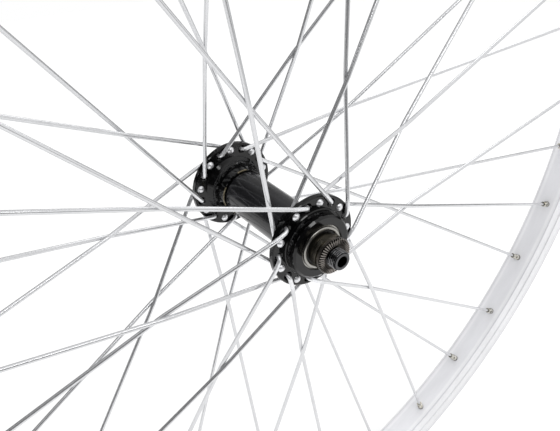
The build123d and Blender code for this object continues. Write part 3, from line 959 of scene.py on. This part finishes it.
@dataclass
class AxleSet:
    """The threaded hollow axle and its locknuts. Sizes in millimetres, angles in radians."""

    end: float = 54.6
    face: float = 50.0
    radius: float = 4.5
    root_radius: float = 3.95
    bore: float = 2.6
    bore_chamfer: float = 0.2
    end_chamfer: float = 0.5
    thread_pitch: float = 1.0
    thread_start: float = 49.3
    thread_overlap: float = 0.1
    thread_steps: int = 48
    thread_smooth: float = math.radians(20)
    lead_in_turns: int = 2
    crest_half_width: float = 0.08
    root_half_width: float = 0.42
    nut_radius: float = 8.6
    nut_thickness: float = 2.8
    nut_bore: float = 4.56
    nut_edge: float = 0.35
    nut_bevel: float = 0.4
    nut_smooth: float = math.radians(12)
    recess_depth: float = 0.25
    recess_slope_width: float = 0.3
    mouth_width: float = 0.2
    mouth_depth: float = 0.45
    teeth: int = 44
    tooth_inner_radius: float = 5.6
    rim_notch: float = 0.12
    face_notch: float = 0.62
    inner_notch: float = 0.12

    def ridge(self) -> bpy.types.Object:
        """The thread ridge of the left end, wound past both ends of its place.

        Returns:
            The ridge as a closed mesh.
        """
        Bench.clear()
        middle = (self.root_radius + self.radius) / 2
        centre = (middle - self.thread_overlap / 2) * MM
        depth = self.radius - self.root_radius + self.thread_overlap
        start = self.thread_start - self.lead_in_turns * self.thread_pitch
        bpy.ops.mesh.primitive_plane_add(size=MM, location=(centre, start * MM, 0))
        ridge = Bench.take("axle_thread")
        Bench.edit(ridge)
        bpy.ops.mesh.select_all(action="SELECT")
        bpy.ops.transform.resize(value=(depth, 2 * self.root_half_width, 1),
                                 center_override=(centre, start * MM, 0))
        Bench.pick(ridge, lambda place: place.x > middle * MM)
        bpy.ops.transform.resize(value=(1, self.crest_half_width / self.root_half_width, 1),
                                 center_override=(self.radius * MM, start * MM, 0))
        bpy.ops.mesh.select_all(action="SELECT")
        bpy.ops.mesh.delete(type="ONLY_FACE")
        bpy.ops.object.mode_set(mode="OBJECT")
        turns = math.ceil((self.end - start) / self.thread_pitch) + 1
        Bench.apply(ridge, "SCREW", axis="Y", steps=self.thread_steps,
                    render_steps=self.thread_steps, screw_offset=self.thread_pitch * MM,
                    iterations=turns, use_merge_vertices=True)
        Bench.edit(ridge, "EDGE")
        bpy.ops.mesh.select_non_manifold()
        bpy.ops.mesh.fill()
        Bench.close(self.thread_smooth)
        return ridge

    def blank(self) -> bpy.types.Object:
        """The plain rod that the thread is cut to, with the axle's end chamfer.

        Returns:
            The rod as a closed mesh.
        """
        Bench.clear()
        length = self.end - self.thread_start
        bpy.ops.mesh.primitive_cylinder_add(
            vertices=ROUND_SEGMENTS, radius=self.radius * MM, depth=length * MM,
            rotation=(math.pi / 2, 0, 0), location=(0, (self.end - length / 2) * MM, 0))
        blank = Bench.take("axle_blank")
        Bench.edit(blank)
        Bench.pick(blank, lambda place: place.y > (self.end - PICK_MARGIN) * MM)
        bpy.ops.mesh.bevel(offset=self.end_chamfer * MM, segments=1, affect="EDGES")
        Bench.close()
        return blank

    def thread(self) -> bpy.types.Object:
        """The thread of the left end, cut to the axle's outline.

        Returns:
            The thread as a closed mesh.
        """
        ridge = self.ridge()
        blank = self.blank()
        Bench.apply(ridge, "BOOLEAN", operation="INTERSECT", object=blank, solver="EXACT")
        bpy.data.objects.remove(blank)
        return ridge

    def axle(self) -> bpy.types.Object:
        """The hollow axle with a thread at each end.

        Returns:
            The axle, not yet dressed.
        """
        mouth = self.bore + self.bore_chamfer
        half = [(self.radius, self.thread_start), (self.root_radius, self.thread_start),
                (self.root_radius, self.end), (mouth, self.end),
                (self.bore, self.end - self.bore_chamfer)]
        mirrored = [(radius, -along) for radius, along in reversed(half)]
        body = Bench.turned("axle_threaded", half + mirrored, ROUND_SEGMENTS)
        Bench.close()
        left = self.thread()
        right = Bench.copy(left, "axle_thread_right", HALF_TURN_ABOUT_Z)
        return Bench.join([body, left, right])

    def locknut(self) -> bpy.types.Object:
        """The left locknut with a knurled rim and a serrated outer face.

        Returns:
            The nut, not yet dressed.
        """
        segments = 2 * self.teeth
        inner = self.face - self.nut_thickness
        brim = self.nut_radius - self.nut_bevel
        step = self.tooth_inner_radius
        recess = self.face - self.recess_depth
        outline = [(self.nut_bore, inner), (self.nut_radius - self.nut_edge, inner),
                   (self.nut_radius, inner + self.nut_edge),
                   (self.nut_radius, self.face - self.nut_bevel), (brim, self.face),
                   (step, self.face), (step - self.recess_slope_width, recess),
                   (self.nut_bore + self.mouth_width, recess),
                   (self.nut_bore, self.face - self.mouth_depth)]
        piece = Bench.turned("locknut_serrated_left", outline, segments)

        def in_valley(place: Vector) -> bool:
            """Whether a vertex lies on a valley between two teeth.

            Args:
                place: The vertex's place, in metres.

            Returns:
                True on every second step round the clock.
            """
            first = self.clock_step(piece.data.vertices[0].co, segments)
            offset = first - round(first)
            return round(self.clock_step(place, segments) - offset) % 2 == 1

        def on_brim(place: Vector) -> bool:
            """Whether a valley's vertex lies on the outer rim or the brim of the face.

            Args:
                place: The vertex's place, in metres.

            Returns:
                True for the vertices that are cut deepest.
            """
            low = self.face - self.nut_bevel - PICK_MARGIN
            return (in_valley(place) and Bench.reach(place) > brim - PICK_MARGIN
                    and place.y > low * MM)

        def on_step(place: Vector) -> bool:
            """Whether a valley's vertex lies on the face at the inner end of the teeth.

            Args:
                place: The vertex's place, in metres.

            Returns:
                True for the vertices that are cut a little.
            """
            return (in_valley(place) and Bench.reach(place) < brim - PICK_MARGIN
                    and place.y > (self.face - PICK_MARGIN) * MM)

        Bench.pick(piece, on_brim)
        shrink = (self.nut_radius - self.rim_notch) / self.nut_radius
        bpy.ops.transform.resize(value=(shrink, 1, shrink), center_override=(0, 0, 0))
        bpy.ops.transform.translate(value=(0, -self.face_notch * MM, 0))
        Bench.pick(piece, on_step)
        bpy.ops.transform.translate(value=(0, -self.inner_notch * MM, 0))
        Bench.close(self.nut_smooth)
        return piece

    @staticmethod
    def clock_step(place: Vector, segments: int) -> float:
        """How many steps of a ring lie between the X axis and a place, round the clock."""
        return math.atan2(place.z, place.x) / FULL_TURN * segments

    @staticmethod
    def dress(piece: bpy.types.Object, finish: Finish, node: str, slot: str) -> bpy.types.Object:
        """Finish a piece, put it under the axle set's body and hide the CAD node that it
        replaces.

        Args:
            piece: The piece.
            finish: Its finish.
            node: The CAD node that it replaces.
            slot: The material slot that it fills. Not used.

        Returns:
            The same piece.
        """
        piece.data.materials.clear()
        piece.data.materials.append(finish.material())
        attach(piece, "axle_set")
        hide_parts(node)
        return piece

    def build(self) -> list[bpy.types.Object]:
        """Build every new piece of the axle set.

        Returns:
            The axle and the two locknuts.
        """
        made = [self.dress(self.axle(), AXLE, "axle", "axle_steel")]
        left = self.locknut()
        right = Bench.copy(left, "locknut_serrated_right", HALF_TURN_ABOUT_Z)
        for side, nut in ((Side.LEFT, left), (Side.RIGHT, right)):
            made.append(self.dress(nut, LOCKNUT, "locknut_" + side.value, "locknut_steel"))
        return made


@dataclass
class CadNodes:
    """The pieces that the frame already holds. Each keeps its shape and gets its finish."""

    slots: dict[str, str]

    def build(self) -> list[bpy.types.Object]:
        """Give every node the finish of its material slot.

        Returns:
            The nodes.
        """
        dressed = []
        for name, node in frame["nodes"].items():
            finish = FINISH_OF_SLOT[self.slots[name]]
            for slot in node.material_slots:
                slot.material = finish.material()
            dressed.append(node)
        return dressed


@dataclass(frozen=True)
class Lamp:
    """A soft rectangular lamp that faces the hub. Place and size in metres, power in watts."""

    name: str
    place: Place
    size: tuple[float, float]
    power: float

    def build(self) -> None:
        """Hang the lamp."""
        data = bpy.data.lights.new(self.name, "AREA")
        data.shape = "RECTANGLE"
        data.size, data.size_y = self.size
        data.energy = self.power
        lamp = bpy.data.objects.new(self.name, data)
        lamp.location = self.place
        lamp.rotation_euler = (-Vector(self.place)).to_track_quat("-Z", "Y").to_euler()
        bpy.context.scene.collection.objects.link(lamp)


@dataclass
class Studio:
    """Floor, world, lamps and the camera, with places in metres."""

    floor_height: float = -0.2856
    floor_size: float = 3.2
    floor_colour: Colour = (0.82, 0.82, 0.82)
    floor_lift: float = 0.18
    world_white: float = 1.0
    room_dark: float = 0.03
    backdrop: float = 0.45
    ceiling: Rise = Rise(0.80, 0.14)
    sweep: Rise = Rise(-0.12, 0.10)
    soft_box: Rise = Rise(0.80, 0.14)
    soft_box_way: Place = (0.62, -0.60, 0.50)
    back_along: Rise = Rise(0.25, 0.2)
    back_across: Rise = Rise(-0.05, 0.35)
    fill: float = 1.04
    fill_level: float = 0.85
    fill_rise: float = 0.15
    lamps: tuple[Lamp, ...] = (Lamp("key_lamp", (-0.19, -1.09, 1.15), (1.0, 0.2), 3.6),
                               Lamp("rim_lamp", (0.9, 0.5, 0.9), (0.7, 0.7), 3.0))
    lens: float = 40.82
    shift: tuple[float, float] = (-0.0170, -0.0008)
    clip: tuple[float, float] = (0.01, 50.0)
    camera_place: Place = (-0.149909, -0.217590, 0.158165)
    camera_right: Place = (0.801202, -0.598394, 0.0)
    camera_down: Place = (-0.312220, -0.417995, -0.853111)
    camera_forward: Place = (0.510485, 0.683523, -0.521730)

    @staticmethod
    def rays(graph: Graph) -> tuple[Value, Value]:
        """Which rays reach a surface or the world.

        Args:
            graph: The graph that asks.

        Returns:
            Whether the eye sees it, and whether a reflection or a clear piece does.
        """
        path = graph.node("ShaderNodeLightPath")
        seen, glossy, through = (graph.value(path, ray.value) for ray in Light)
        return seen, glossy.larger(through)

    def world(self) -> None:
        """A dark room with a grey back at the right, for reflections, and an even white fill.

        In the room are a bright ceiling, a bright sweep below and a soft box at one side.
        """
        world = bpy.data.worlds.new("studio")
        world.use_nodes = True
        bpy.context.scene.world = world
        graph = Graph(world.node_tree)
        seen, mirrored = self.rays(graph)
        across, along, up = graph.split(graph.node("ShaderNodeTexCoord").outputs["Generated"])
        box_across, box_along, box_up = self.soft_box_way
        side = (across * box_across + along * box_along + up * box_up).past(self.soft_box)
        boxes = up.past(self.ceiling).larger(1 - up.past(self.sweep)).larger(side)
        back = along.past(self.back_along) * across.past(self.back_across)
        behind = self.room_dark + (self.backdrop - self.room_dark) * back
        studio = behind + (self.world_white - behind) * boxes
        fill = self.fill * (self.fill_level + self.fill_rise * up)
        strength = fill + mirrored * (studio - fill) + seen * (self.world_white - fill)
        light = graph.node("ShaderNodeBackground", None, {"Color": WHITE, "Strength": strength})
        graph.node("ShaderNodeOutputWorld", None, {"Surface": light})

    def floor(self) -> None:
        """The pale floor, lifted to white where the eye or a reflection meets it."""
        Bench.clear()
        bpy.ops.mesh.primitive_plane_add(size=self.floor_size, location=(0, 0, self.floor_height))
        floor = Bench.take("floor")
        material = bpy.data.materials.new("floor_white")
        material.use_nodes = True
        graph = Graph(material.node_tree)
        seen, mirrored = self.rays(graph)
        diffuse = graph.node("ShaderNodeBsdfDiffuse", None, {"Color": self.floor_colour})
        glow = graph.node("ShaderNodeEmission", None, {
            "Color": WHITE, "Strength": seen.larger(mirrored) * self.floor_lift})
        both = graph.node("ShaderNodeAddShader", None, {0: diffuse, 1: glow})
        graph.node("ShaderNodeOutputMaterial", None, {"Surface": both})
        floor.data.materials.append(material)

    def camera(self) -> None:
        """The camera at the photograph's place."""
        data = bpy.data.cameras.new("camera")
        data.lens = self.lens
        data.shift_x, data.shift_y = self.shift
        data.clip_start, data.clip_end = self.clip
        camera = bpy.data.objects.new("camera", data)
        right = Vector(self.camera_right)
        up = -Vector(self.camera_down)
        back = -Vector(self.camera_forward)
        turn = Matrix((right, up, back)).transposed().to_4x4()
        camera.matrix_world = Matrix.Translation(Vector(self.camera_place)) @ turn
        bpy.context.scene.collection.objects.link(camera)
        bpy.context.scene.camera = camera

    def build(self) -> None:
        """Set up the room, the lamps and the camera."""
        self.world()
        self.floor()
        for lamp in self.lamps:
            lamp.build()
        self.camera()
        bpy.context.scene.view_settings.view_transform = "Standard"


def main() -> None:
    """Build the wheel's looks in order and report each piece."""
    logging.basicConfig(level=logging.INFO, format="%(message)s")
    Studio().build()
    slots = {part["node"]: part["material_slot"] for part in frame["record"]["subparts"]}
    for assembly in (CadNodes(slots), AxleSet()):
        for piece in assembly.build():
            log.info("%s: %d faces", piece.name, len(piece.data.polygons))
    Bench.clear()


if __name__ == "__main__":
    main()
